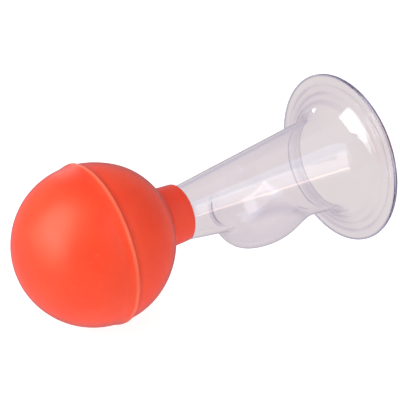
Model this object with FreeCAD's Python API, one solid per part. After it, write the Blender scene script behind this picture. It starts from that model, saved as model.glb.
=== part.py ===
"""Bulb breast pump: a clear glass body with a flared bell and a milk reservoir, and a rubber bulb on its neck.

Millimetres. The origin is the centre of the bell's mouth, in the plane of the rim's flat land.
+X points out of the mouth, along the axis of the bell, the tunnel, the neck and the bulb.
+Z is up, so the reservoir hangs towards -Z.
Half outlines are pairs (x, r): x along the axis, r away from it.
"""

import FreeCAD, Part
import math
import os

# Bell
WALL = 1.8
FLARE_RADIUS = 13.0
FLARE_ANGLE = 75.0
RIM_RADIUS = 35.9
RIM_THICKNESS = 1.7

# Tunnel, a cone that opens towards the bell
TUNNEL_BACK_X = -79.9
TUNNEL_BACK_RADIUS = 10.5
TUNNEL_FRONT_X = -12.8
TUNNEL_HALF_ANGLE = 7.8
SHOULDER_ROUND = 0.8
INNER_SHOULDER_LENGTH = 2.4

# Neck, a spigot that narrows slightly towards its free end
NECK_TIP_X = -93.4
NECK_ROOT_RADIUS = 9.0
NECK_TIP_RADIUS = 8.7
NECK_BORE_RADIUS = 6.9

# Milk reservoir, an egg that lies along the tunnel with its own axis below the tunnel's
RESERVOIR_X = -42.2
RESERVOIR_Z = -9.0
RESERVOIR_RADIUS = 16.6
RESERVOIR_BACK_LENGTH = 19.2
RESERVOIR_BACK_FULLNESS = 0.71
RESERVOIR_FRONT_LENGTH = 23.5
RESERVOIR_FRONT_FULLNESS = 0.55
RESERVOIR_FILLET = 2.5

# Rubber bulb
BULB_X = -118.4
BULB_RADIUS = 30.6
BULB_WALL = 2.5

# Raised line where the bulb's two halves meet
SEAM_RADIUS = 31.3
SEAM_CREST = 0.5
SEAM_FRONT_WIDTH = 1.4
SEAM_BACK_WIDTH = 3.6
SEAM_SAG = 0.12

# Collar of the bulb
COLLAR_ROOT_RADIUS = 11.8
COLLAR_END_RADIUS = 11.4
COLLAR_END_ROUND = 1.0
COLLAR_FILLET = 1.6
COLLAR_TO_SHOULDER = 0.2
COLLAR_CLEARANCE = 0.05

# Thumb dome, the part of the bulb's wall that is pushed in
DOME_RADIUS = 20.0
DOME_CLEARANCE = 0.05

# How close a point is to a surface when it counts as on it
ON_SURFACE = 0.01


def point(outline_point, axis_z=0.0):
    """The point of a half outline in space, for an axis that lies at height axis_z."""
    x, r = outline_point
    return FreeCAD.Vector(x, 0, axis_z + r)


def line(start, end):
    return Part.makeLine(point(start), point(end))


def path(*corners):
    """Straight edges from corner to corner."""
    return [line(a, b) for a, b in zip(corners, corners[1:])]


def arc(start, middle, end):
    return Part.Arc(point(start), point(middle), point(end)).toShape()


def on_circle(centre, radius, angle):
    """The point of a circle at an angle in degrees, from +X towards the outside."""
    turn = math.radians(angle)
    return centre[0] + radius * math.cos(turn), centre[1] + radius * math.sin(turn)


def arc_about(centre, radius, start, end):
    middle = on_circle(centre, radius, (start + end) / 2)
    return arc(on_circle(centre, radius, start), middle, on_circle(centre, radius, end))


def revolve(edges, axis_z=0.0):
    """The solid that a closed half outline sweeps round the line at height axis_z, parallel to X."""
    face = Part.Face(Part.Wire(Part.__sortEdges__(edges)))
    return face.revolve(FreeCAD.Vector(0, 0, axis_z), FreeCAD.Vector(1, 0, 0), 360)


def tunnel_radius(x):
    """Outer radius of the tunnel at x."""
    return TUNNEL_BACK_RADIUS + (x - TUNNEL_BACK_X) * math.tan(math.radians(TUNNEL_HALF_ANGLE))


def tunnel_inner_radius(x):
    return tunnel_radius(x) - WALL / math.cos(math.radians(TUNNEL_HALF_ANGLE))


def bell_wall():
    """Both skins of the flare, from the tunnel's front end to the rim, with the rim's flat land and round edge.

    Returns the edges, and where the outer and the inner skin start at the tunnel."""
    centre = on_circle(
        (TUNNEL_FRONT_X, tunnel_radius(TUNNEL_FRONT_X)), FLARE_RADIUS, 90 + TUNNEL_HALF_ANGLE
    )
    edges = []
    starts = []
    lands = []
    for radius, plane_x in ((FLARE_RADIUS, -RIM_THICKNESS), (FLARE_RADIUS + WALL, 0.0)):
        edges.append(arc_about(centre, radius, TUNNEL_HALF_ANGLE - 90, FLARE_ANGLE - 90))
        starts.append(on_circle(centre, radius, TUNNEL_HALF_ANGLE - 90))
        end = on_circle(centre, radius, FLARE_ANGLE - 90)
        lip_radius = (plane_x - end[0]) / (1 - math.sin(math.radians(FLARE_ANGLE)))
        lip_centre = on_circle(end, lip_radius, FLARE_ANGLE + 90)
        edges.append(arc_about(lip_centre, lip_radius, FLARE_ANGLE - 90, 0))
        lands.append(on_circle(lip_centre, lip_radius, 0))
    round_radius = RIM_THICKNESS / 2
    round_centre = (-round_radius, RIM_RADIUS - round_radius)
    edges.append(line(lands[0], (-RIM_THICKNESS, round_centre[1])))
    edges.append(arc_about(round_centre, round_radius, 180, 0))
    edges.append(line((0, round_centre[1]), lands[1]))
    return edges, starts


def tube_wall():
    """The glass without its reservoir: neck, shoulder, tunnel and bell, as one solid of revolution."""
    edges, (outer_start, inner_start) = bell_wall()
    tip_round = (NECK_TIP_RADIUS - NECK_BORE_RADIUS) / 2
    tip_x = NECK_TIP_X + tip_round
    inner_x = TUNNEL_BACK_X + INNER_SHOULDER_LENGTH / 2
    shoulder_end = (TUNNEL_BACK_X + SHOULDER_ROUND, tunnel_radius(TUNNEL_BACK_X + SHOULDER_ROUND))
    shoulder_start = (TUNNEL_BACK_X, TUNNEL_BACK_RADIUS - SHOULDER_ROUND)
    shoulder_middle = on_circle(
        (shoulder_end[0], shoulder_end[1] - SHOULDER_ROUND), SHOULDER_ROUND, 135
    )
    edges += path((tip_x, NECK_TIP_RADIUS), (TUNNEL_BACK_X, NECK_ROOT_RADIUS), shoulder_start)
    edges.append(arc(shoulder_start, shoulder_middle, shoulder_end))
    edges.append(line(shoulder_end, outer_start))
    edges += path(
        inner_start,
        (inner_x, tunnel_inner_radius(inner_x)),
        (inner_x - INNER_SHOULDER_LENGTH, NECK_BORE_RADIUS),
        (tip_x, NECK_BORE_RADIUS),
    )
    edges.append(arc_about((tip_x, NECK_BORE_RADIUS + tip_round), tip_round, 90, 270))
    return revolve(edges)


def egg_half(length, radius, fullness):
    """One end of the egg's half outline, from its tip to its widest circle.

    A fullness of 0.55 gives an ellipse, and more than that a blunter end."""
    corners = (
        (RESERVOIR_X + length, 0),
        (RESERVOIR_X + length, radius * fullness),
        (RESERVOIR_X + length * fullness, radius),
        (RESERVOIR_X, radius),
    )
    curve = Part.BezierCurve()
    curve.setPoles([point(corner, RESERVOIR_Z) for corner in corners])
    return curve.toShape()


def egg(skin):
    """The reservoir's egg, made smaller by skin on every side."""
    radius = RESERVOIR_RADIUS - skin
    back = skin - RESERVOIR_BACK_LENGTH
    front = RESERVOIR_FRONT_LENGTH - skin
    tips = [point((RESERVOIR_X + length, 0), RESERVOIR_Z) for length in (back, front)]
    back_half = egg_half(back, radius, RESERVOIR_BACK_FULLNESS)
    front_half = egg_half(front, radius, RESERVOIR_FRONT_FULLNESS)
    return revolve([Part.makeLine(*tips), back_half, front_half], RESERVOIR_Z)


def tunnel_bore():
    """The space inside the tunnel's wall along the whole reservoir."""
    back_x = RESERVOIR_X - RESERVOIR_BACK_LENGTH
    front_x = RESERVOIR_X + RESERVOIR_FRONT_LENGTH
    corners = (
        (back_x, 0),
        (back_x, tunnel_inner_radius(back_x)),
        (front_x, tunnel_inner_radius(front_x)),
        (front_x, 0),
        (back_x, 0),
    )
    return revolve(path(*corners))


def lies_across_tunnel(edge):
    """Whether an edge wanders over the tunnel's outer skin, as the edge between tunnel and reservoir does."""
    start = edge.Vertexes[0].Point
    on_skin = abs(math.hypot(start.y, start.z) - tunnel_radius(start.x)) < ON_SURFACE
    return on_skin and edge.BoundBox.XLength > WALL and edge.BoundBox.YLength > WALL


def glass_body():
    """The whole glass, with a soft fillet outside where the reservoir leaves the tunnel."""
    body = tube_wall().fuse(egg(0))
    meeting = [edge for edge in body.Edges if lies_across_tunnel(edge)]
    filleted = body.makeFillet(RESERVOIR_FILLET, meeting)
    return filleted.cut(egg(WALL)).cut(tunnel_bore())


def on_bulb(radius, r, side):
    """The point of a sphere about the bulb's centre at distance r from the axis.

    side is 1 towards the mouth and -1 away from it."""
    return BULB_X + side * math.sqrt(radius**2 - r**2), r


def bulb_arc(radius, r_start, r_end, side):
    """An arc of that sphere between two distances from the axis."""
    angles = [math.degrees(math.asin(r / radius)) for r in (r_start, r_end)]
    if side < 0:
        angles = [180 - angle for angle in angles]
    return arc_about((BULB_X, 0), radius, *angles)


def bulb_front_shell():
    """The front half of the bulb with its half of the raised line, and the collar that holds the neck."""
    inner_radius = BULB_RADIUS - BULB_WALL
    corner = (BULB_X + SEAM_CREST, SEAM_RADIUS)
    seam_foot = (BULB_X + SEAM_FRONT_WIDTH, math.sqrt(BULB_RADIUS**2 - SEAM_FRONT_WIDTH**2))
    seam_middle = (seam_foot[0] - SEAM_SAG, (corner[1] + seam_foot[1]) / 2)
    fillet_centre = on_bulb(BULB_RADIUS + COLLAR_FILLET, COLLAR_ROOT_RADIUS + COLLAR_FILLET, 1)
    ball_end_r = fillet_centre[1] * BULB_RADIUS / (BULB_RADIUS + COLLAR_FILLET)
    ball_end = on_bulb(BULB_RADIUS, ball_end_r, 1)
    towards_ball = math.degrees(math.atan2(fillet_centre[1], fillet_centre[0] - BULB_X)) + 180
    collar_end_x = TUNNEL_BACK_X - COLLAR_TO_SHOULDER
    round_centre = (collar_end_x - COLLAR_END_ROUND, COLLAR_END_RADIUS - COLLAR_END_ROUND)
    slope = (NECK_ROOT_RADIUS - NECK_TIP_RADIUS) / (TUNNEL_BACK_X - NECK_TIP_X)
    bore_end_r = NECK_ROOT_RADIUS + COLLAR_CLEARANCE - slope * COLLAR_TO_SHOULDER
    bore_start_r = NECK_TIP_RADIUS + COLLAR_CLEARANCE
    bore_start = on_bulb(inner_radius, bore_start_r, 1)
    edges = path((BULB_X, inner_radius), (BULB_X, SEAM_RADIUS), corner)
    edges.append(arc(corner, seam_middle, seam_foot))
    edges.append(bulb_arc(BULB_RADIUS, seam_foot[1], ball_end_r, 1))
    edges.append(arc_about(fillet_centre, COLLAR_FILLET, towards_ball, 270))
    edges.append(line((fillet_centre[0], COLLAR_ROOT_RADIUS), (round_centre[0], COLLAR_END_RADIUS)))
    edges.append(arc_about(round_centre, COLLAR_END_ROUND, 90, 0))
    edges += path((collar_end_x, round_centre[1]), (collar_end_x, bore_end_r), bore_start)
    edges.append(bulb_arc(inner_radius, bore_start_r, inner_radius, 1))
    return revolve(edges)


def bulb_rear_shell():
    """The rear half of the bulb with its half of the raised line, open where the thumb dome sits."""
    inner_radius = BULB_RADIUS - BULB_WALL
    opening = DOME_RADIUS + DOME_CLEARANCE
    foot = (BULB_X - SEAM_BACK_WIDTH, math.sqrt(BULB_RADIUS**2 - SEAM_BACK_WIDTH**2))
    middle = (BULB_X - SEAM_BACK_WIDTH / 2, (SEAM_RADIUS + foot[1]) / 2 - SEAM_SAG)
    edges = [line((BULB_X, inner_radius), (BULB_X, SEAM_RADIUS))]
    edges.append(arc((BULB_X, SEAM_RADIUS), middle, foot))
    edges.append(bulb_arc(BULB_RADIUS, foot[1], opening, -1))
    edges.append(line(on_bulb(BULB_RADIUS, opening, -1), on_bulb(inner_radius, opening, -1)))
    edges.append(bulb_arc(inner_radius, opening, inner_radius, -1))
    return revolve(edges)


def bulb_thumb_dome():
    """The middle of the rear half, the part of the wall that a thumb pushes in."""
    inner_radius = BULB_RADIUS - BULB_WALL
    edges = [line(on_bulb(BULB_RADIUS, DOME_RADIUS, -1), on_bulb(inner_radius, DOME_RADIUS, -1))]
    edges.append(bulb_arc(inner_radius, DOME_RADIUS, 0, -1))
    edges.append(line((BULB_X - inner_radius, 0), (BULB_X - BULB_RADIUS, 0)))
    edges.append(bulb_arc(BULB_RADIUS, 0, DOME_RADIUS, -1))
    return revolve(edges)


SUB_PARTS = {
    "glass_body": glass_body,
    "bulb_front_shell": bulb_front_shell,
    "bulb_rear_shell": bulb_rear_shell,
    "bulb_thumb_dome": bulb_thumb_dome,
}

os.makedirs("parts", exist_ok=True)
for name, make in SUB_PARTS.items():
    make().exportStep(f"parts/{name}.step")
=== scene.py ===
"""The looks of the bulb breast pump: clear glass body, red rubber bulb, pale floor and soft studio light.

Metres, with +X out of the bell's mouth along the pump's axis and +Z up. MM turns millimetres into metres."""

import math

import bpy
import numpy
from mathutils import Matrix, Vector, noise


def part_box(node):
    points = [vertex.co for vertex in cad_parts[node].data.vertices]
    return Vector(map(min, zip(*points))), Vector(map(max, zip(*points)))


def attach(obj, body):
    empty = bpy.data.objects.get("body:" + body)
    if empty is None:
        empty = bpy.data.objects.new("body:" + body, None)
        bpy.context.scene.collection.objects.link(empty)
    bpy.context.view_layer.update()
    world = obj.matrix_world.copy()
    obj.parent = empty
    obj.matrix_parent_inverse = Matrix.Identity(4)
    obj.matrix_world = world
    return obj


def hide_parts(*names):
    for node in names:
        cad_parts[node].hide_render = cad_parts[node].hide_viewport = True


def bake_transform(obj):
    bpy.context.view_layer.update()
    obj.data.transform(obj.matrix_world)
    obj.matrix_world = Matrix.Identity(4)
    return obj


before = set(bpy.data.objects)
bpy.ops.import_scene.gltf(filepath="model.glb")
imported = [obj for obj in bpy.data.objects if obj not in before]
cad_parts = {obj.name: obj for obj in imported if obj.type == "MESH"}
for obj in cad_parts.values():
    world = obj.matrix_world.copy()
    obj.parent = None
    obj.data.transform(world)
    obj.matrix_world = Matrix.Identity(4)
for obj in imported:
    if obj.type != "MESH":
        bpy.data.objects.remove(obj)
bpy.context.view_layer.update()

MM = 0.001

# ---------------------------------------------------------------- sizes, from the frame where it holds them
GLASS_LOW, GLASS_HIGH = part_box("glass_body")
FRONT_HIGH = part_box("bulb_front_shell")[1]
REAR_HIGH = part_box("bulb_rear_shell")[1]
DOME_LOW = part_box("bulb_thumb_dome")[0]

MOUTH_X = GLASS_HIGH.x
RIM_RADIUS = GLASS_HIGH.y
NECK_TIP_X = GLASS_LOW.x
BULB_X = REAR_HIGH.x
BULB_RADIUS = BULB_X - DOME_LOW.x
SEAM_RADIUS = FRONT_HIGH.y
COLLAR_END_X = FRONT_HIGH.x

# Bell, tunnel and the neck inside the collar
GLASS_WALL = 1.8 * MM
RIM_THICKNESS = 1.7 * MM
FLARE_RADIUS = 13.0 * MM
FLARE_ANGLE = 75.0
COLLAR_TO_SHOULDER = 0.2 * MM
TUNNEL_BACK_X = COLLAR_END_X + COLLAR_TO_SHOULDER
TUNNEL_BACK_RADIUS = 10.5 * MM
TUNNEL_FRONT_X = MOUTH_X - 12.8 * MM
TUNNEL_HALF_ANGLE = 7.8
SHOULDER_ROUND = 0.8 * MM
SHOULDER_LIFT = 0.1 * MM
NECK_ROOT_RADIUS = 9.0 * MM
NECK_TIP_RADIUS = 8.7 * MM
NECK_BORE_RADIUS = 6.9 * MM
THROAT_END_X = TUNNEL_BACK_X + 2.6 * MM
THROAT_LENGTH = 3.2 * MM
THROAT_GAP = 0.2 * MM

# Milk reservoir, an egg along the tunnel, with its own axis RESERVOIR_DROP below the tunnel's
RESERVOIR_X = MOUTH_X - 42.2 * MM
RESERVOIR_DROP = 9.0 * MM
RESERVOIR_RADIUS = 16.6 * MM
RESERVOIR_BACK_LENGTH = 19.2 * MM
RESERVOIR_BACK_FULLNESS = 0.71
RESERVOIR_FRONT_LENGTH = 23.5 * MM
RESERVOIR_FRONT_FULLNESS = 0.55
RESERVOIR_BLEND = 4.5 * MM

# The painted shade, a grey line where tunnel and reservoir meet: its width, and the length over which it
# comes in
JUNCTION_WIDTH = 1.5 * MM
JUNCTION_RISE = 10.0 * MM

# Flange, in mm: waves as (radius, width, height) and rings of painted grey shade as (radius, width)
FLANGE_WAVES = ((26.5, 1.4, 0.24), (30.6, 1.1, 0.22), (33.6, 0.8, 0.12))
GREY_RINGS = ((24.5, 0.6), (28.0, 0.8), (31.5, 0.7))
# Where round the flange the painted rings are greyest, as (degrees from +Y towards +Z, strength)
GREY_PATCHES = ((60, 1.5), (265, 2.5))

# Rubber bulb. The raised line is a ramp behind the ball's middle, a flat crest and a step in front
BULB_WALL = 2.5 * MM
SEAM_RAMP = 3.6 * MM
SEAM_CREST = 0.45 * MM
SEAM_STEP = 0.8 * MM
# Degrees along the half outline, from +X: behind the raised line, then over it
REAR_ZONE = (180.0, 99.4)
SEAM_ZONE = (98.0, 86.16)
SWELL = 0.05 * MM
SWELL_SHIFT = 0.03 * MM
RIPPLE = 0.16 * MM
COLLAR_ROOT_RADIUS = 11.8 * MM
COLLAR_END_RADIUS = 11.4 * MM
COLLAR_END_ROUND = 1.0 * MM
COLLAR_FILLET = 1.6 * MM
COLLAR_CLEARANCE = 0.05 * MM
# The heavy ball hangs a little low on its soft collar, so the skin is lifted there
SAG = 0.9 * MM
SAG_START = 8.0 * MM
SAG_LENGTH = 20.0 * MM

# Fineness of the meshes, and how often their curves are smoothed
SEGMENTS = 168
TUNNEL_RINGS = 150
PROFILE_SAMPLES = 900
MELT_PASSES = 110
EASED_RINGS = 14
EASING_PASSES = 30

# Floor, and the greys that floor and room have through glass and in reflections
FLOOR_HALF = 3.0
FLOOR_GAP = 0.05 * MM
BACKDROP = (0.78, 0.715, 0.715, 1)
FAR_BACKDROP = (0.55, 0.51, 0.60, 1)
MIRRORED_FLOOR = (0.44, 0.41, 0.48, 1)
MIRRORED_NEAR_FLOOR = (0.75, 0.75, 0.75, 1)

# Camera. AWAY is level and points away from it
AIM_ALONG = 0.403
AIM_HEIGHT = 3.1 * MM
CAMERA_AZIMUTH = -34.54
CAMERA_ELEVATION = 30.9
CAMERA_DISTANCE = 0.466
LENS = 108.0
BOUNCES = 128
AWAY = (0.566, 0.824, 0)


# ---------------------------------------------------------------- half outlines, as lists of (x, r)
def spread(start, end, steps):
    """Evenly spaced values from start to end, with both of them."""
    return [start + (end - start) * i / steps for i in range(steps + 1)]


def smooth(t):
    """A soft step from 0 to 1, as t goes from 0 to 1."""
    t = min(max(t, 0.0), 1.0)
    return t * t * (3 - 2 * t)


def soft_ring(r, place, width):
    """1 at r = place, falling softly to 0 on both sides. r is in metres, place and width in mm."""
    return math.exp(-(((r / MM - place) / width) ** 2))


def on_circle(centre, radius, degrees):
    turn = math.radians(degrees)
    return centre[0] + radius * math.cos(turn), centre[1] + radius * math.sin(turn)


def arc(centre, radius, start, end, steps):
    """Points along an arc. Angles are in degrees, from +X towards the outside."""
    return [on_circle(centre, radius, angle) for angle in spread(start, end, steps)]


def straight(start, end, steps):
    """Points along a straight stretch, without its last one."""
    return [
        tuple(a + (b - a) * i / steps for a, b in zip(start, end))
        for i in range(steps)
    ]


def tunnel_radius(x):
    return TUNNEL_BACK_RADIUS + (x - TUNNEL_BACK_X) * math.tan(math.radians(TUNNEL_HALF_ANGLE))


def tunnel_inner_radius(x):
    return tunnel_radius(x) - GLASS_WALL / math.cos(math.radians(TUNNEL_HALF_ANGLE))


# ---------------------------------------------------------------- meshes
def sweep(name, rings):
    """A closed surface round the X axis. A ring is one point per segment, or a single one at a pole."""
    verts = []
    rows = []
    for ring in rings:
        rows.append(range(len(verts), len(verts) + len(ring)))
        verts.extend(ring)
    faces = []
    for a, b in zip(rows, rows[1:] + rows[:1]):
        if len(a) == len(b) == 1:
            continue
        for k in range(SEGMENTS):
            n = (k + 1) % SEGMENTS
            if len(a) == 1:
                faces.append((a[0], b[n], b[k]))
            elif len(b) == 1:
                faces.append((a[k], a[n], b[0]))
            else:
                faces.append((a[k], a[n], b[n], b[k]))
    mesh = bpy.data.meshes.new(name)
    mesh.from_pydata(verts, [], faces)
    mesh.validate()
    for polygon in mesh.polygons:
        polygon.use_smooth = True
    mesh.update()
    piece = bpy.data.objects.new(name, mesh)
    bpy.context.scene.collection.objects.link(piece)
    return piece


def around_axis(x, r, segment):
    angle = 2 * math.pi * segment / SEGMENTS
    return x, r * math.cos(angle), r * math.sin(angle)


def plain_ring(x, r):
    return [(x, 0.0, 0.0)] if r < 1e-9 else [around_axis(x, r, k) for k in range(SEGMENTS)]


# ---------------------------------------------------------------- glass body
def bezier(a, b, c, d, t):
    s = 1 - t
    return s**3 * a + 3 * s * s * t * b + 3 * s * t * t * c + t**3 * d


def egg_radius(x):
    """Radius of the reservoir's egg at x. Zero outside the egg."""
    if x < RESERVOIR_X:
        length, fullness = RESERVOIR_BACK_LENGTH, RESERVOIR_BACK_FULLNESS
    else:
        length, fullness = RESERVOIR_FRONT_LENGTH, RESERVOIR_FRONT_FULLNESS
    along = abs(x - RESERVOIR_X) / length
    if along >= 1:
        return 0.0
    low, high = 0.0, 1.0
    for _ in range(40):
        t = (low + high) / 2
        if bezier(1, 1, fullness, 0, t) > along:
            low = t
        else:
            high = t
    return RESERVOIR_RADIUS * bezier(0, fullness, 1, 1, low)


def tunnel_with_reservoir(xs, sections, angle):
    """Radii at xs of the tunnel swollen by the reservoir, and how far tunnel and reservoir are apart.

    sections are the radii of the reservoir's egg at xs. The angle is in radians, from +Y towards +Z."""
    down, side = -math.sin(angle), math.cos(angle)
    tunnel = numpy.array([tunnel_radius(x) for x in xs])
    room = numpy.maximum(sections**2 - (RESERVOIR_DROP * side) ** 2, 0.0)
    held = (room > 0) & ((down > 0) | (sections > RESERVOIR_DROP))
    reach = numpy.where(held, RESERVOIR_DROP * down + numpy.sqrt(room), 0.0)
    apart = numpy.abs(tunnel - reach)
    melted = numpy.maximum(RESERVOIR_BLEND - apart, 0.0) ** 2 / (4 * RESERVOIR_BLEND)
    return numpy.maximum(tunnel, reach) + melted, apart


def respaced(points, count):
    """The same polyline with its points evenly spaced along it."""
    steps = numpy.hypot(*numpy.diff(points, axis=0).T)
    along = numpy.concatenate(([0.0], numpy.cumsum(steps)))
    places = numpy.linspace(0.0, along[-1], count)
    return numpy.stack([numpy.interp(places, along, points[:, i]) for i in (0, 1)], axis=1)


def tunnel_skins(start, end):
    """Outer and inner rings of the tunnel with its reservoir, with an even wall between them."""
    xs = numpy.linspace(start, end, PROFILE_SAMPLES)
    sections = numpy.array([egg_radius(x) for x in xs])
    outer = []
    for k in range(SEGMENTS):
        radii, _ = tunnel_with_reservoir(xs, sections, 2 * math.pi * k / SEGMENTS)
        profile = respaced(numpy.stack([xs, radii], axis=1), 3 * TUNNEL_RINGS)
        for _ in range(MELT_PASSES):
            profile[1:-1] = (profile[:-2] + 2 * profile[1:-1] + profile[2:]) / 4
        profile = respaced(profile, TUNNEL_RINGS)
        outer.append([around_axis(x, r, k) for x, r in profile])
    outer = numpy.array(outer)
    around = numpy.roll(outer, -1, axis=0) - numpy.roll(outer, 1, axis=0)
    normals = numpy.cross(around, numpy.gradient(outer, axis=1))
    normals /= numpy.linalg.norm(normals, axis=2, keepdims=True)
    inner = outer - normals * GLASS_WALL
    return [[list(map(tuple, skin[:, i])) for i in range(TUNNEL_RINGS)] for skin in (outer, inner)]


def flange_wave(r):
    """How far the flange's inside stands proud at radius r, in soft rings left by rolling the hot glass."""
    return sum(height * soft_ring(r, place, width) for place, width, height in FLANGE_WAVES) * MM


def glass_rings():
    """The glass as closed rings: outer skin from the neck's tip to the rim, then the inner one back."""
    centre = on_circle(
        (TUNNEL_FRONT_X, tunnel_radius(TUNNEL_FRONT_X)), FLARE_RADIUS, 90 + TUNNEL_HALF_ANGLE
    )
    flares = []
    skins = ((FLARE_RADIUS, MOUTH_X - RIM_THICKNESS), (FLARE_RADIUS + GLASS_WALL, MOUTH_X))
    for radius, plane_x in skins:
        flare = arc(centre, radius, TUNNEL_HALF_ANGLE - 90, FLARE_ANGLE - 90, 30)
        lip_radius = (plane_x - flare[-1][0]) / (1 - math.sin(math.radians(FLARE_ANGLE)))
        lip_centre = on_circle(flare[-1], lip_radius, FLARE_ANGLE + 90)
        flare += arc(lip_centre, lip_radius, FLARE_ANGLE - 90, 0, 14)[1:]
        flares.append(flare)
    outer_flare, inner_flare = flares
    half = RIM_THICKNESS / 2
    rim_centre = (MOUTH_X - half, RIM_RADIUS - half)
    rim = straight(outer_flare[-1], (MOUTH_X - RIM_THICKNESS, rim_centre[1]), 6)[1:]
    rim += arc(rim_centre, half, 180, 0, 20)
    rim += straight((MOUTH_X, rim_centre[1]), inner_flare[-1], 6)[1:]
    inner_flare = [(x + flange_wave(r), r) for x, r in inner_flare]

    shoulder = arc(
        (TUNNEL_BACK_X + SHOULDER_ROUND, tunnel_radius(TUNNEL_BACK_X) - SHOULDER_ROUND + SHOULDER_LIFT),
        SHOULDER_ROUND, 180, 90 + TUNNEL_HALF_ANGLE, 6,
    )
    half_tip = (NECK_TIP_RADIUS - NECK_BORE_RADIUS) / 2
    tip_centre = (NECK_TIP_X + half_tip, NECK_BORE_RADIUS + half_tip)
    neck = arc(tip_centre, half_tip, 270, 90, 12)
    neck += straight((tip_centre[0], NECK_TIP_RADIUS), (TUNNEL_BACK_X, NECK_ROOT_RADIUS), 8)[1:]
    neck.append((TUNNEL_BACK_X, NECK_ROOT_RADIUS))
    throat_end = (THROAT_END_X, tunnel_inner_radius(THROAT_END_X))
    throat = [throat_point(throat_end, t / 10) for t in range(11)]
    bore = straight((tip_centre[0], NECK_BORE_RADIUS), throat[0], 8)[1:]

    rings = [plain_ring(*point) for point in neck + shoulder]
    outer, inner = tunnel_skins(shoulder[-1][0], outer_flare[0][0])
    inner = [ring for ring in inner[1:-1] if min(ring)[0] > THROAT_END_X + THROAT_GAP]
    rings += eased(outer[1:-1], [plain_ring(*point) for point in outer_flare])
    rings += [plain_ring(*point) for point in rim]
    rings += eased([plain_ring(*point) for point in inner_flare[::-1]], inner[::-1])
    rings += [plain_ring(*point) for point in throat[::-1] + bore[::-1]]
    return rings


def eased(first, second):
    """The rings of a skin in two stretches, with the first eased into the second."""
    skin = numpy.array(first + second)
    low, high = len(first) - EASED_RINGS, len(first) + EASED_RINGS
    for _ in range(EASING_PASSES):
        skin[low:high] = (skin[low - 1:high - 1] + 2 * skin[low:high] + skin[low + 1:high + 1]) / 4
    return [list(map(tuple, ring)) for ring in skin]


def throat_point(end, t):
    """A point of the inner throat, an S-shaped step from the neck's bore out to the tunnel."""
    start = (end[0] - THROAT_LENGTH, NECK_BORE_RADIUS)
    middle = (start[0] + end[0]) / 2
    return bezier(start[0], middle, middle, end[0], t), bezier(start[1], start[1], end[1], end[1], t)


def paint_grey_shade(piece):
    """Store on each point how much grey shade is painted on its glass.

    The shade is painted where tunnel and reservoir meet, most on the -Y side, on the reservoir, most at
    its back end, and in rings on the flange."""
    xs = numpy.linspace(TUNNEL_BACK_X, MOUTH_X, PROFILE_SAMPLES)
    sections = numpy.array([egg_radius(x) for x in xs])
    marks = []
    for vertex in piece.data.vertices:
        x, y, z = vertex.co
        radius, angle = math.hypot(y, z), math.atan2(z, y)
        if x < TUNNEL_FRONT_X:
            section = numpy.interp(x, xs, sections)
            _, apart = tunnel_with_reservoir(numpy.array([x]), numpy.array([section]), angle)
            rise = min(max((x - RESERVOIR_X + RESERVOIR_BACK_LENGTH) / JUNCTION_RISE, 0.0), 1.0)
            side = 1.0 if y < 0 else 0.2
            junction = side * rise * math.exp(-((apart[0] / JUNCTION_WIDTH) ** 2))
            egg = 0.15 + 0.3 * (1 - rise) if radius > tunnel_radius(x) + MM else 0.0
            marks.append(max(junction, egg))
        else:
            # Painted shade: grey rings on the flange, greyest in the GREY_PATCHES directions
            painted_rings = max(soft_ring(radius, place, width) for place, width in GREY_RINGS)
            patches = [
                strength * max(math.cos(angle - math.radians(middle)), 0.0) ** 4
                for middle, strength in GREY_PATCHES
            ]
            marks.append(painted_rings * (0.25 + sum(patches)))
    painted_grey = piece.data.attributes.new("painted_grey", "FLOAT", "POINT")
    painted_grey.data.foreach_set("value", marks)


# ---------------------------------------------------------------- rubber bulb
def seam_height(x):
    """How far the raised line stands off at x from the ball's middle: a ramp behind, a step in front."""
    crest = SEAM_RADIUS - BULB_RADIUS
    if x < 0:
        t = max(1 + x / SEAM_RAMP, 0.0)
        return crest * smooth(t) * (0.6 + 0.4 * t)
    return crest * (1 - smooth((x - SEAM_CREST) / SEAM_STEP))


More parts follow.
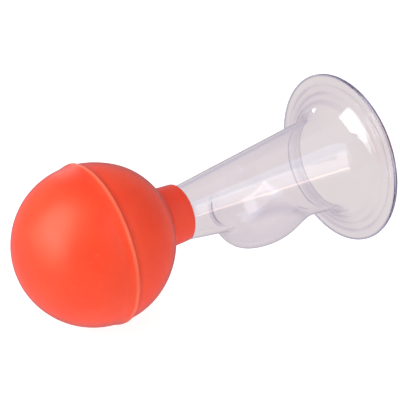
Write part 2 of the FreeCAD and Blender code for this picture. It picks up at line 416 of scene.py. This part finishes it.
def rubber_rings():
    """The bulb as closed rings: outer skin from the rear pole to the collar's end, then the inner one."""
    middle = (BULB_X, 0.0)
    outer = [(BULB_X - BULB_RADIUS, 0.0)]
    fillet_r = COLLAR_ROOT_RADIUS + COLLAR_FILLET
    fillet_x = math.sqrt((BULB_RADIUS + COLLAR_FILLET) ** 2 - fillet_r**2)
    fillet_angle = math.degrees(math.atan2(fillet_r, fillet_x))
    angles = spread(*REAR_ZONE, 62)[1:]
    angles += spread(*SEAM_ZONE, 37)
    angles += spread(SEAM_ZONE[1], fillet_angle, 44)[1:]
    for angle in angles:
        height = seam_height(BULB_RADIUS * math.cos(math.radians(angle)))
        outer.append(on_circle(middle, BULB_RADIUS + height, angle))
    outer += arc((BULB_X + fillet_x, fillet_r), COLLAR_FILLET, fillet_angle + 180, 270, 8)[1:]
    lip = (COLLAR_END_X - COLLAR_END_ROUND, COLLAR_END_RADIUS - COLLAR_END_ROUND)
    outer += straight(outer[-1], (lip[0], COLLAR_END_RADIUS), 12)[1:]
    outer += arc(lip, COLLAR_END_ROUND, 90, 0, 10)

    inner_radius = BULB_RADIUS - BULB_WALL
    slope = (NECK_ROOT_RADIUS - NECK_TIP_RADIUS) / (TUNNEL_BACK_X - NECK_TIP_X)
    bore_end = (COLLAR_END_X, NECK_ROOT_RADIUS + COLLAR_CLEARANCE - slope * (TUNNEL_BACK_X - COLLAR_END_X))
    bore_r = NECK_TIP_RADIUS + COLLAR_CLEARANCE
    bore_start = (BULB_X + math.sqrt(inner_radius**2 - bore_r**2), bore_r)
    inner = straight(outer[-1], bore_end, 3)[1:] + straight(bore_end, bore_start, 12)
    first = math.degrees(math.asin(bore_r / inner_radius))
    inner += arc(middle, inner_radius, first, 180, 90)[:-1]
    inner.append((BULB_X - inner_radius, 0.0))
    rings = [plain_ring(*outer[0])]
    for x, r in outer[1:]:
        swells = [unevenness(x, r, 2 * math.pi * k / SEGMENTS) for k in range(SEGMENTS)]
        skin = [around_axis(x, r + swell, k) for k, swell in enumerate(swells)]
        rings.append([(x, y, z + sag(x)) for x, y, z in skin])
    return rings + [plain_ring(*point) for point in inner]


def sag(x):
    """How far the outer skin is lifted at x."""
    return SAG * smooth((x - BULB_X - SAG_START) / SAG_LENGTH)


def unevenness(x, r, angle):
    """How far the outer skin is off: a slow swell, as on moulded rubber, and a ripple on the raised line."""
    outwards = Vector((x - BULB_X, r * math.cos(angle), r * math.sin(angle))) / BULB_RADIUS
    swell = SWELL * noise.noise(outwards * 2.3)
    on_seam = seam_height(x - BULB_X) / (SEAM_RADIUS - BULB_RADIUS)
    ripple = RIPPLE * on_seam * (noise.noise(outwards * 7.0 + Vector((5, 0, 0))) - 0.35)
    return (swell - SWELL_SHIFT) * min(r / BULB_RADIUS * 2, 1.0) + ripple


# ---------------------------------------------------------------- materials
class Nodes:
    """Short calls for a material's or world's node tree."""

    def __init__(self, owner):
        owner.use_nodes = True
        self.tree = owner.node_tree
        self.tree.nodes.clear()

    def add(self, kind, inputs=None, **settings):
        node = self.tree.nodes.new(kind)
        for key, value in settings.items():
            setattr(node, key, value)
        for key, value in (inputs or {}).items():
            if isinstance(value, bpy.types.NodeSocket):
                self.tree.links.new(value, node.inputs[key])
            else:
                node.inputs[key].default_value = value
        return node

    def noise(self, vector, scale, detail=2.0, roughness=0.5):
        inputs = {"Vector": vector, "Scale": scale, "Detail": detail, "Roughness": roughness}
        return self.add("ShaderNodeTexNoise", inputs).outputs["Fac"]

    def map(self, value, low, high, to_low, to_high):
        inputs = {"Value": value, "From Min": low, "From Max": high, "To Min": to_low, "To Max": to_high}
        return self.add("ShaderNodeMapRange", inputs, clamp=True).outputs["Result"]

    def math(self, operation, a, b=0.0):
        node = self.add("ShaderNodeMath", {0: a, 1: b}, operation=operation)
        return node.outputs[0]

    def band(self, value, rise, fall):
        """1 between two pairs of values. It comes in over the first pair and goes out over the second."""
        return self.math("MULTIPLY", self.map(value, *rise, 0, 1), self.map(value, *fall, 1, 0))

    def dot(self, vector, other):
        node = self.add("ShaderNodeVectorMath", {0: vector, 1: other}, operation="DOT_PRODUCT")
        return node.outputs["Value"]

    def mix_colour(self, factor, a, b):
        return self.add("ShaderNodeMix", {0: factor, 6: a, 7: b}, data_type="RGBA").outputs[2]

    def mix_shader(self, factor, a, b):
        node = self.add("ShaderNodeMixShader", {0: factor, 1: a.outputs[0], 2: b.outputs[0]})
        return node.outputs[0]


def rubber_material():
    """Matte red rubber: mottled colour, dust and grain, with painted light on it.

    The raised line's crest is painted lighter, partly rubbed wear and partly painted highlight. Painted
    shade darkens the step in front of it, the collar and the outline.
    """
    material = bpy.data.materials.new("red_rubber")
    n = Nodes(material)
    place = n.add("ShaderNodeTexCoord").outputs["Object"]
    mottle = n.noise(place, 55.0, 4.0, 0.55)
    grain = n.noise(place, 2600.0, 3.0, 0.6)
    waviness = n.noise(place, 190.0, 3.0, 0.5)
    red = n.mix_colour(n.map(mottle, 0.35, 0.68, 0, 1), (0.90, 0.042, 0.008, 1), (0.96, 0.060, 0.014, 1))
    dust = n.noise(place, 420.0, 5.0, 0.7)
    red = n.mix_colour(n.map(dust, 0.60, 0.80, 0, 0.16), red, (0.95, 0.30, 0.22, 1))
    along = n.math("SUBTRACT", n.add("ShaderNodeSeparateXYZ", {"Vector": place}).outputs["X"], BULB_X)
    # Painted highlight and wear: the raised line's crest is painted a lighter orange in patches, partly
    # rubbed rubber, partly painted highlight
    crest = n.band(along, (-1.1 * MM, -0.3 * MM), (0.4 * MM, 0.7 * MM))
    wear_and_highlight = n.map(n.noise(place, 45.0, 3.0, 0.6), 0.35, 0.65, 0.45, 0.95)
    red = n.mix_colour(n.math("MULTIPLY", crest, wear_and_highlight), red, (0.97, 0.17, 0.085, 1))
    # Painted shade: just in front of the crest, over the step, the rubber is painted a darker red
    step_shade = n.band(along, (0.6 * MM, 1.2 * MM), (1.6 * MM, 3.0 * MM))
    red = n.mix_colour(n.math("MULTIPLY", step_shade, 0.3), red, (0.55, 0.020, 0.010, 1))
    # Painted shade: from the groove between ball and collar onwards, the collar is painted a darker red
    red = n.mix_colour(n.map(along, 27 * MM, 30 * MM, 0, 0.5), red, (0.80, 0.040, 0.018, 1))
    # Painted shade: where the skin turns away from the view, its outline is painted dark red, and its shine
    # is turned down
    grazing = n.add("ShaderNodeLayerWeight", {"Blend": 0.5}).outputs["Facing"]
    red = n.mix_colour(n.map(grazing, 0.65, 0.95, 0, 0.8), red, (0.42, 0.085, 0.085, 1))
    rough = n.math("ADD", n.map(dust, 0.3, 0.7, 0.36, 0.47), n.map(waviness, 0.3, 0.7, -0.03, 0.03))
    height = n.math("ADD", n.math("MULTIPLY", grain, 0.35), n.math("MULTIPLY", waviness, 0.65))
    bump = n.add("ShaderNodeBump", {"Height": height, "Strength": 0.38, "Distance": 0.0003})
    shader = n.add(
        "ShaderNodeBsdfPrincipled",
        {
            "Base Color": red,
            "Roughness": rough,
            "Normal": bump.outputs["Normal"],
            "IOR": 1.5,
            "Specular IOR Level": n.map(grazing, 0.70, 0.90, 0.5, 0.1),
            "Specular Tint": (1.0, 0.95, 0.74, 1),
            "Subsurface Weight": 0.12,
            "Subsurface Radius": (0.004, 0.0006, 0.0003),
            "Subsurface Scale": 1.0,
            "Sheen Weight": 0.02,
            "Sheen Roughness": 0.5,
            "Sheen Tint": (1.0, 0.75, 0.70, 1),
        },
    )
    n.add("ShaderNodeOutputMaterial", {"Surface": shader.outputs[0]})
    return material


def glass_material():
    """Clear glass: violet grey in its thickness, slow ripples and faint smears.

    Grey shade is painted at rim and outline, where tunnel and reservoir meet, on the reservoir and in the
    flange's rings. The painted grey of the outline is for the camera's own rays only. Shadow rays pass
    straight through."""
    material = bpy.data.materials.new("clear_glass")
    n = Nodes(material)
    place = n.add("ShaderNodeTexCoord").outputs["Object"]
    ripple = n.noise(place, 60.0, 2.0, 0.4)
    smear = n.noise(place, 140.0, 4.0, 0.6)
    rough = n.map(smear, 0.45, 0.75, 0.02, 0.07)
    bump = n.add("ShaderNodeBump", {"Height": ripple, "Strength": 0.12, "Distance": 0.0008})
    tint = n.mix_colour(n.map(smear, 0.4, 0.7, 0, 1), (0.985, 0.975, 0.985, 1), (0.975, 0.965, 0.975, 1))
    across = n.add("ShaderNodeVectorMath", {0: place, 1: (0, 1, 1)}, operation="MULTIPLY").outputs["Vector"]
    radius = n.add("ShaderNodeVectorMath", {0: across}, operation="LENGTH").outputs["Value"]
    # Painted shade: the rim's outermost millimetre is painted a dark violet grey
    rim = n.map(radius, RIM_RADIUS - 1.1 * MM, RIM_RADIUS - 0.5 * MM, 0, 1)
    tint = n.mix_colour(rim, tint, (0.48, 0.47, 0.60, 1))
    # Painted shade: the stored grey, made patchy, tints the glass grey
    painted_grey = n.add("ShaderNodeAttribute", attribute_name="painted_grey").outputs["Fac"]
    patchy = n.map(n.noise(place, 45.0, 1.0, 0.5), 0.35, 0.6, 0.25, 1.2)
    tint = n.mix_colour(n.math("MULTIPLY", painted_grey, patchy), tint, (0.80, 0.78, 0.86, 1))
    rays = n.add("ShaderNodeLightPath")
    # Painted shade: for the camera's rays, the glass is painted grey along its outline, where it turns away
    grazing = n.add("ShaderNodeLayerWeight", {"Blend": 0.5}).outputs["Facing"]
    edge = n.math("MULTIPLY", rays.outputs["Is Camera Ray"], n.map(grazing, 0.74, 0.86, 0, 1))
    tint = n.mix_colour(edge, tint, (0.55, 0.54, 0.60, 1))
    glass = n.add(
        "ShaderNodeBsdfPrincipled",
        {
            "Base Color": tint,
            "Roughness": rough,
            "IOR": 1.5,
            "Transmission Weight": 1.0,
            "Normal": bump.outputs["Normal"],
        },
    )
    clear = n.add("ShaderNodeBsdfTransparent", {"Color": (0.90, 0.88, 0.90, 1)})
    both = n.mix_shader(rays.outputs["Is Shadow Ray"], glass, clear)
    dim = n.add("ShaderNodeVolumeAbsorption", {"Color": (0.52, 0.48, 0.68, 1), "Density": 12.0})
    n.add("ShaderNodeOutputMaterial", {"Surface": both, "Volume": dim.outputs[0]})
    return material


def floor_material():
    """Pale paper that glows a little. Through glass and in reflections it has greys of its own.

    Those greys give the glass the tones of the photo, whose background is cut out and white."""
    material = bpy.data.materials.new("pale_floor")
    n = Nodes(material)
    place = n.add("ShaderNodeTexCoord").outputs["Object"]
    fibre = n.noise(place, 900.0, 3.0, 0.6)
    tone = n.mix_colour(fibre, (0.37, 0.37, 0.37, 1), (0.40, 0.40, 0.40, 1))
    paper = n.add(
        "ShaderNodeBsdfPrincipled",
        {
            "Base Color": tone,
            "Roughness": 0.9,
            "Specular IOR Level": 0.1,
            "Emission Color": (1, 1, 1, 1),
            "Emission Strength": 0.86,
        },
    )
    away = n.add("ShaderNodeVectorMath", {0: place}, operation="LENGTH").outputs["Value"]
    patches = n.map(n.noise(place, 14.0, 2.0, 0.5), 0.35, 0.65, 0.0, 0.14)
    far = n.math("ADD", n.map(away, 0.28, 1.1, 0.0, 1.0), patches)
    backdrop = n.mix_colour(far, BACKDROP, FAR_BACKDROP)
    rays = n.add("ShaderNodeLightPath")
    incoming = n.add("ShaderNodeNewGeometry").outputs["Incoming"]
    nearer = n.dot(incoming, AWAY)
    mirrored = n.mix_colour(n.map(nearer, -0.35, -0.1, 0, 1), MIRRORED_FLOOR, MIRRORED_NEAR_FLOOR)
    backdrop = n.mix_colour(rays.outputs["Is Transmission Ray"], mirrored, backdrop)
    through = n.add("ShaderNodeEmission", {"Color": backdrop, "Strength": 1.0})
    indirect = n.math("MAXIMUM", rays.outputs["Is Transmission Ray"], rays.outputs["Is Glossy Ray"])
    n.add("ShaderNodeOutputMaterial", {"Surface": n.mix_shader(indirect, paper, through)})
    return material


# ---------------------------------------------------------------- the object
glass = sweep("glass_body_clear", glass_rings())
paint_grey_shade(glass)
glass.data.materials.append(glass_material())
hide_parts("glass_body")
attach(glass, "glass")

bulb = sweep("bulb_rubber", rubber_rings())
bulb.data.materials.append(rubber_material())
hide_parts("bulb_front_shell", "bulb_rear_shell", "bulb_thumb_dome")
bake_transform(bulb)


# ---------------------------------------------------------------- floor
def make_floor():
    """A pale floor just below the ball's raised line and the bell's rim, so that the pump lies on both."""
    mesh = bpy.data.meshes.new("floor")
    corners = ((-1, -1), (1, -1), (1, 1), (-1, 1))
    mesh.from_pydata([(x * FLOOR_HALF, y * FLOOR_HALF, 0) for x, y in corners], [], [(0, 1, 2, 3)])
    floor = bpy.data.objects.new("floor", mesh)
    bpy.context.scene.collection.objects.link(floor)
    run = MOUTH_X - RIM_THICKNESS / 2 - BULB_X
    slope = math.asin((RIM_RADIUS - SEAM_RADIUS) / run)
    normal = Vector((math.sin(slope), 0, math.cos(slope)))
    floor.rotation_euler = (0, slope, 0)
    floor.location = Vector((BULB_X, 0, 0)) - normal * (SEAM_RADIUS + FLOOR_GAP)
    mesh.materials.append(floor_material())


make_floor()


# ---------------------------------------------------------------- light
def direction(azimuth, elevation):
    """From the object towards a place, in degrees. Azimuth 0 is -Y, and grows towards +X."""
    a, e = math.radians(azimuth), math.radians(elevation)
    return Vector((math.sin(a) * math.cos(e), -math.cos(a) * math.cos(e), math.sin(e)))


AIM = Vector((BULB_X + (MOUTH_X - BULB_X) * AIM_ALONG, 0, AIM_HEIGHT))


def area_light(name, azimuth, elevation, distance, width, height, power, colour=(1, 1, 1)):
    """A rectangular lamp that faces AIM."""
    light = bpy.data.lights.new(name, "AREA")
    light.shape = "RECTANGLE"
    light.size, light.size_y = width, height
    light.energy = power
    light.color = colour
    lamp = bpy.data.objects.new(name, light)
    lamp.location = AIM + direction(azimuth, elevation) * distance
    lamp.rotation_euler = (AIM - lamp.location).to_track_quat("-Z", "Y").to_euler()
    bpy.context.scene.collection.objects.link(lamp)
    return lamp


def fade(lamp, even):
    """Let a lamp grow dim towards its ends, as a curtain over a window does. Its middle stays even."""
    n = Nodes(lamp.data)
    place = n.add("ShaderNodeNewGeometry").outputs["Parametric"]
    along = n.add("ShaderNodeSeparateXYZ", {"Vector": place}).outputs["Y"]
    off_middle = n.math("ABSOLUTE", n.math("SUBTRACT", along, 0.5))
    glow = n.add("ShaderNodeEmission", {"Strength": n.map(off_middle, even, 0.5, 1, 0)})
    n.add("ShaderNodeOutputLight", {"Surface": glow.outputs[0]})


area_light("key", -103, 36, 0.9, 0.62, 0.85, 7.6)
window = area_light("window", 16, 22, 1.0, 0.32, 1.05, 1.7, (0.95, 0.97, 0.98))
fade(window, 0.22)
area_light("overhead", 0, 88, 1.2, 1.4, 1.4, 2.6).visible_glossy = False
area_light("fill", 10, 30, 1.0, 0.6, 0.6, 1.2).visible_glossy = False
area_light("key_side", -80, 18, 0.9, 0.24, 0.55, 1.6).visible_diffuse = False
area_light("skylight", 25, 50, 1.0, 0.75, 0.45, 1.4, (0.54, 0.72, 1.0)).visible_diffuse = False
area_light("warm_line", 18, 6, 1.0, 0.5, 0.07, 0.42, (1.0, 0.60, 0.46)).visible_diffuse = False
spark = area_light("spark", 168, 10, 0.9, 0.12, 0.12, 0.27)
spark.visible_diffuse = False
spark.visible_transmission = False


def studio_world():
    """White for the camera, a bright room for reflections, and a dimmer one that lights matt surfaces.

    Through glass it goes from the far backdrop's grey, low down, to a lighter one overhead."""
    world = bpy.data.worlds.new("studio")
    n = Nodes(world)
    rays = n.add("ShaderNodeLightPath")
    place = n.add("ShaderNodeTexCoord").outputs["Generated"]
    up = n.add("ShaderNodeSeparateXYZ", {"Vector": place}).outputs["Z"]
    room = n.mix_colour(n.map(up, -0.1, 0.7, 0, 1), (0.52, 0.48, 0.52, 1), (0.72, 0.70, 0.74, 1))
    room = n.mix_colour(n.map(n.dot(place, AWAY), 0.3, 0.9, 0, 1), room, (0.58, 0.54, 0.60, 1))
    room = n.mix_colour(rays.outputs["Is Diffuse Ray"], room, (0.30, 0.30, 0.31, 1))
    through = n.mix_colour(n.map(up, 0.0, 0.8, 0, 1), FAR_BACKDROP, (0.78, 0.72, 0.76, 1))
    room = n.mix_colour(rays.outputs["Is Transmission Ray"], room, through)
    seen = n.mix_colour(rays.outputs["Is Camera Ray"], room, (1, 1, 1, 1))
    back = n.add("ShaderNodeBackground", {"Color": seen, "Strength": 1.0})
    n.add("ShaderNodeOutputWorld", {"Surface": back.outputs[0]})
    bpy.context.scene.world = world


studio_world()

# ---------------------------------------------------------------- camera
camera_data = bpy.data.cameras.new("camera")
camera_data.lens = LENS
camera = bpy.data.objects.new("camera", camera_data)
camera.location = AIM + direction(CAMERA_AZIMUTH, CAMERA_ELEVATION) * CAMERA_DISTANCE
camera.rotation_euler = (AIM - camera.location).to_track_quat("-Z", "Y").to_euler()
bpy.context.scene.collection.objects.link(camera)
bpy.context.scene.camera = camera
bpy.context.scene.view_settings.view_transform = "Standard"
bpy.context.scene.cycles.max_bounces = BOUNCES
bpy.context.scene.cycles.transmission_bounces = BOUNCES
bpy.context.scene.cycles.glossy_bounces = BOUNCES
